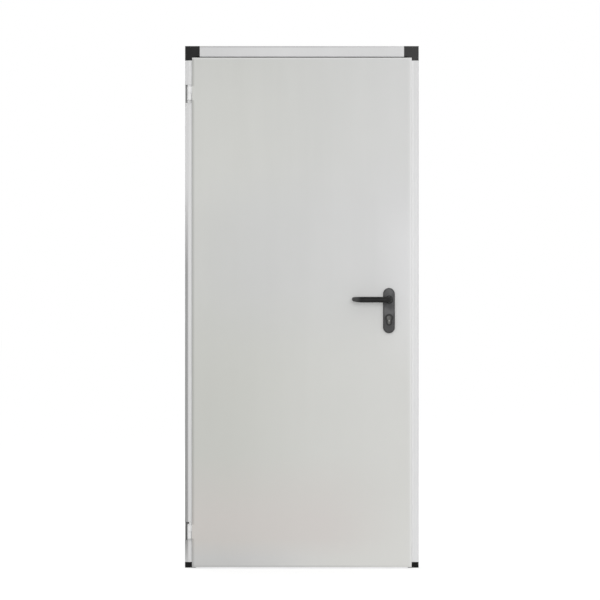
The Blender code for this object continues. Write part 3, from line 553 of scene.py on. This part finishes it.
def pan_head_screw(name, place, outward, turn, radius, rise):
    """A screw's head with a hexagon socket, on the face at place, that faces outward."""
    screw = cylinder(SCREW_SIDES, radius, rise * 2, place, turn)
    round_edges(screw, rise * SCREW_EDGE, 3)
    socket = cylinder(6, radius * SCREW_SOCKET, rise * SCREW_SOCKET_DEPTH,
                      Vector(place) + Vector(outward) * rise, turn)
    cut_away(screw, [socket])
    settle(screw, name, SCREW_STEEL, "leaf")


def key_plug(name, node, way):
    """The round plug in the end of the lock cylinder, with its keyway."""
    low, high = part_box(node)
    face = high.y if way > 0 else low.y
    centre = Vector(((low.x + high.x) / 2, face, high.z - PLUG_BELOW_TOP))
    plug = cylinder(PLUG_SIDES, PLUG_RADIUS, PLUG_THICKNESS, centre, ALONG_Y)
    round_edges(plug, PLUG_EDGE, 2)
    keyway = block(centre + Vector(KEYWAY_SHIFT), KEYWAY_SIZE)
    notch = block(centre + Vector(KEYWAY_NOTCH_SHIFT), KEYWAY_NOTCH_SIZE)
    cut_away(plug, [keyway, notch])
    settle(plug, name, NICKEL_WITH_PAINTED_SHADE, "leaf")


def lever_stations(reach):
    """The lever's centre line as (along the leaf, out from it, lift, turn, radius) rows."""
    turns = [math.pi / 2 * step / BEND_STEPS for step in range(BEND_STEPS + 1)]
    rows = [(0.0, 0.0, 0.0, 0.0)]
    for turn in turns:
        rows.append((LEVER_NECK_BEND * (1 - math.cos(turn)),
                     reach - LEVER_NECK_BEND * (1 - math.sin(turn)), turn, 0.0))
    for step, turn in enumerate(turns):
        rows.append((LEVER_LENGTH - LEVER_END_BEND * (1 - math.sin(turn)),
                     reach - LEVER_END_BEND * (1 - math.cos(turn)), math.pi / 2 + turn,
                     TAPER_AT_BEND_END * step / BEND_STEPS))
    rows.append((LEVER_LENGTH, LEVER_TIP_OUT, math.pi, 1.0))
    return [(along, out, LEVER_TIP_LIFT * bent, turn, LEVER_RADIUS * (1 - LEVER_TIP_TAPER * bent))
            for along, out, turn, bent in rows]


def lever_bar(name, node, way):
    """A round bar drawn out of the handle plate, along the leaf and back towards it. It is
    extruded ring by ring, and way is the side of the leaf that it stands on."""
    low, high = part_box(node)
    base, outermost = (high.y, low.y) if way < 0 else (low.y, high.y)
    reach = abs(outermost - base) - LEVER_RADIUS
    stations = [(Vector((LEVER_AXIS[0] - along, base + way * out, LEVER_AXIS[1] + lift)), turn,
                 radius) for along, out, lift, turn, radius in lever_stations(reach)]
    here, heading, size = stations[0]
    deselect()
    bpy.ops.mesh.primitive_circle_add(vertices=LEVER_SIDES, radius=size, fill_type="NGON",
                                      location=here, rotation=ALONG_Y)
    bar = bpy.context.object
    bpy.ops.object.mode_set(mode="EDIT")
    bpy.ops.mesh.select_mode(type="FACE")
    bpy.ops.mesh.select_all(action="SELECT")
    for place, turn, radius in stations[1:]:
        bpy.ops.mesh.extrude_region_move(TRANSFORM_OT_translate={"value": place - here})
        bpy.ops.transform.rotate(value=way * (heading - turn), orient_axis="Z",
                                 orient_type="GLOBAL", center_override=place)
        bpy.ops.transform.resize(value=(radius / size,) * 3, center_override=place)
        here, heading, size = place, turn, radius
    bpy.ops.mesh.select_all(action="SELECT")
    bpy.ops.mesh.normals_make_consistent(inside=False)
    bpy.ops.object.mode_set(mode="OBJECT")
    round_edges(bar, LEVER_TIP_ROUND, 5, sharper_than=60)
    socket = block((LEVER_AXIS[0], base + way * SOCKET_DEPTH / 2, LEVER_AXIS[1]),
                   (SOCKET_SIDE, SOCKET_DEPTH + SOCKET_SPARE, SOCKET_SIDE))
    cut_away(bar, [socket])
    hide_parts(node)
    settle(bar, name, LEVER_PLASTIC, "lever")


def make_levers():
    lever_bar("front_lever_bar", "front_lever", -1)
    lever_bar("rear_lever_bar", "rear_lever", 1)


def make_fasteners():
    low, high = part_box("rear_backplate")
    middle = (low.x + high.x) / 2
    for place, height in (("upper", high.z - PLATE_SCREW_INSET),
                          ("lower", low.z + PLATE_SCREW_INSET)):
        pan_head_screw(f"rear_plate_screw_{place}", (middle, high.y, height), (0, 1, 0),
                       ALONG_Y, PLATE_SCREW_RADIUS, PLATE_SCREW_RISE)
    low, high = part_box("lock_faceplate")
    middle = (low.y + high.y) / 2
    for place, height in (("upper", high.z - FACEPLATE_SCREW_INSET),
                          ("lower", low.z + FACEPLATE_SCREW_INSET)):
        pan_head_screw(f"faceplate_screw_{place}", (high.x, middle, height), (1, 0, 0),
                       ALONG_X, FACEPLATE_SCREW_RADIUS, FACEPLATE_SCREW_RISE)
    key_plug("front_key_plug", "lock_cylinder", -1)
    key_plug("rear_key_plug", "lock_cylinder", 1)


def make_camera():
    """Looks straight at the door, which lands where the photo shows it."""
    data = bpy.data.cameras.new("camera")
    camera = bpy.data.objects.new("camera", data)
    bpy.context.scene.collection.objects.link(camera)
    half = PHOTO_PIXELS / 2
    camera.location = (DOOR_MIDDLE.x + (half - MIDDLE_IN_PHOTO[0]) * PIXEL_SIZE,
                       -CAMERA_DISTANCE,
                       DOOR_MIDDLE.z + (MIDDLE_IN_PHOTO[1] - half) * PIXEL_SIZE)
    camera.rotation_euler = (math.pi / 2, CAMERA_ROLL, 0)
    data.sensor_width = SENSOR
    data.lens = SENSOR * (CAMERA_DISTANCE - FACE_FORWARD) / (PHOTO_PIXELS * PIXEL_SIZE)
    data.dof.use_dof = False
    bpy.context.scene.camera = camera


def plain_rays(nodes, links):
    """1 for a ray that sees the background: from the camera, off gloss or through glass."""
    seen = nodes.new("ShaderNodeLightPath")
    found = seen.outputs["Is Camera Ray"]
    for ray in ("Is Glossy Ray", "Is Transmission Ray"):
        either = nodes.new("ShaderNodeMath")
        either.operation = "MAXIMUM"
        links.new(found, either.inputs[0])
        links.new(seen.outputs[ray], either.inputs[1])
        found = either.outputs[0]
    return found


def make_floor():
    """A pale floor that glows so far as to look white, and keeps its shadows."""
    deselect()
    bpy.ops.mesh.primitive_plane_add(size=FLOOR_SIDE, location=(DOOR_MIDDLE.x, 0, -FLOOR_DROP))
    floor = bpy.context.object
    floor.name = "floor"
    paint = bpy.data.materials.new("floor_paint")
    paint.use_nodes = True
    nodes, links = paint.node_tree.nodes, paint.node_tree.links
    nodes.clear()
    surface = nodes.new("ShaderNodeBsdfDiffuse")
    surface.inputs["Color"].default_value = (*grey(FLOOR_GREY), 1)
    glow = nodes.new("ShaderNodeEmission")
    glow.inputs["Color"].default_value = WHITE
    share = nodes.new("ShaderNodeMath")
    share.operation = "MULTIPLY"
    share.inputs[1].default_value = 1 - FLOOR_GREY * WORLD_STRENGTH
    links.new(plain_rays(nodes, links), share.inputs[0])
    links.new(share.outputs[0], glow.inputs["Strength"])
    total = nodes.new("ShaderNodeAddShader")
    links.new(surface.outputs[0], total.inputs[0])
    links.new(glow.outputs[0], total.inputs[1])
    out = nodes.new("ShaderNodeOutputMaterial")
    links.new(total.outputs[0], out.inputs["Surface"])
    floor.data.materials.append(paint)


def make_world():
    """Soft light from all sides, seen as plain white."""
    world = bpy.data.worlds.new("studio")
    bpy.context.scene.world = world
    world.use_nodes = True
    nodes, links = world.node_tree.nodes, world.node_tree.links
    nodes.clear()
    pick = nodes.new("ShaderNodeMixShader")
    links.new(plain_rays(nodes, links), pick.inputs["Fac"])
    for socket, strength in ((1, WORLD_STRENGTH), (2, 1.0)):
        light = nodes.new("ShaderNodeBackground")
        light.inputs["Color"].default_value = WHITE
        light.inputs["Strength"].default_value = strength
        links.new(light.outputs[0], pick.inputs[socket])
    out = nodes.new("ShaderNodeOutputWorld")
    links.new(pick.outputs[0], out.inputs["Surface"])


def make_lights():
    for name, place, aim, side, power in LAMPS:
        data = bpy.data.lights.new(name, "AREA")
        data.shape = "SQUARE"
        data.size = side
        data.energy = power
        lamp = bpy.data.objects.new(name, data)
        lamp.location = place
        lamp.rotation_euler = (Vector(aim) - Vector(place)).to_track_quat("-Z", "Y").to_euler()
        bpy.context.scene.collection.objects.link(lamp)


bpy.context.scene.view_settings.view_transform = "Standard"
dress_nodes()
make_levers()
make_fasteners()
make_camera()
make_floor()
make_world()
make_lights()
